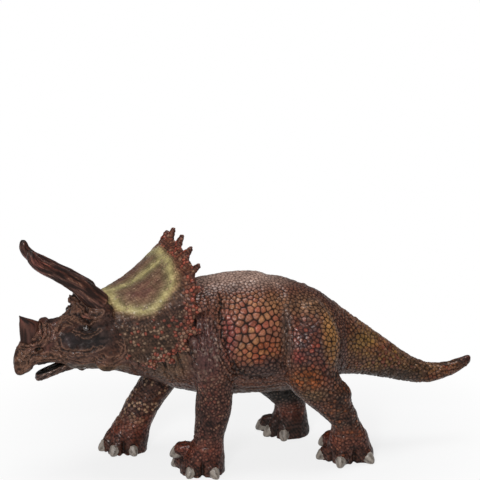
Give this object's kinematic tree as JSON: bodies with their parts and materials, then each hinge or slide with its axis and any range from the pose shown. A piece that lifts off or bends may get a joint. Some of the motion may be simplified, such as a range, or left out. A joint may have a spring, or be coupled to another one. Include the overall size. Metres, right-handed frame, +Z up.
{
  "type": "toy dinosaur figure",
  "caption": "Horned toy dinosaur figure standing on splayed legs, with a dished neck shield, long brow horns, a short nose horn and a lower jaw that turns on a pin; for pretend play",
  "frame": {"origin": "on the floor under the middle of the figure's box", "axes": "+X from head to tail, +Y to the figure's own right side, +Z up from the floor that the feet stand on"},
  "size_m": [0.2884, 0.0866, 0.1491],
  "materials": {
    "body_paint": "satin, brown with orange scales",
    "shield_paint": "satin, taupe with a yellow ring",
    "horn_paint": "satin, dark brown",
    "jaw_paint": "satin, purplish grey",
    "pin_metal": "bright"
  },
  "bodies": {
    "figure": {"torso_left_shell": "body_paint", "torso_right_shell": "body_paint", "tail": "body_paint", "front_left_leg": "body_paint", "front_right_leg": "body_paint", "hind_left_leg": "body_paint", "hind_right_leg": "body_paint", "skull": "body_paint", "neck_shield": "shield_paint", "left_brow_horn": "horn_paint", "right_brow_horn": "horn_paint", "nose_horn": "horn_paint", "jaw_pin": "pin_metal"},
    "jaw": {"lower_jaw": "jaw_paint"}
  },
  "joints": [
    {"name": "jaw_hinge", "type": "hinge", "parent": "figure", "child": "jaw", "pos_m": [-0.10207, -0.00558, 0.07066], "axis": [0.0872, -0.9962, 0], "range_deg": [-12, 6]}
  ]
}
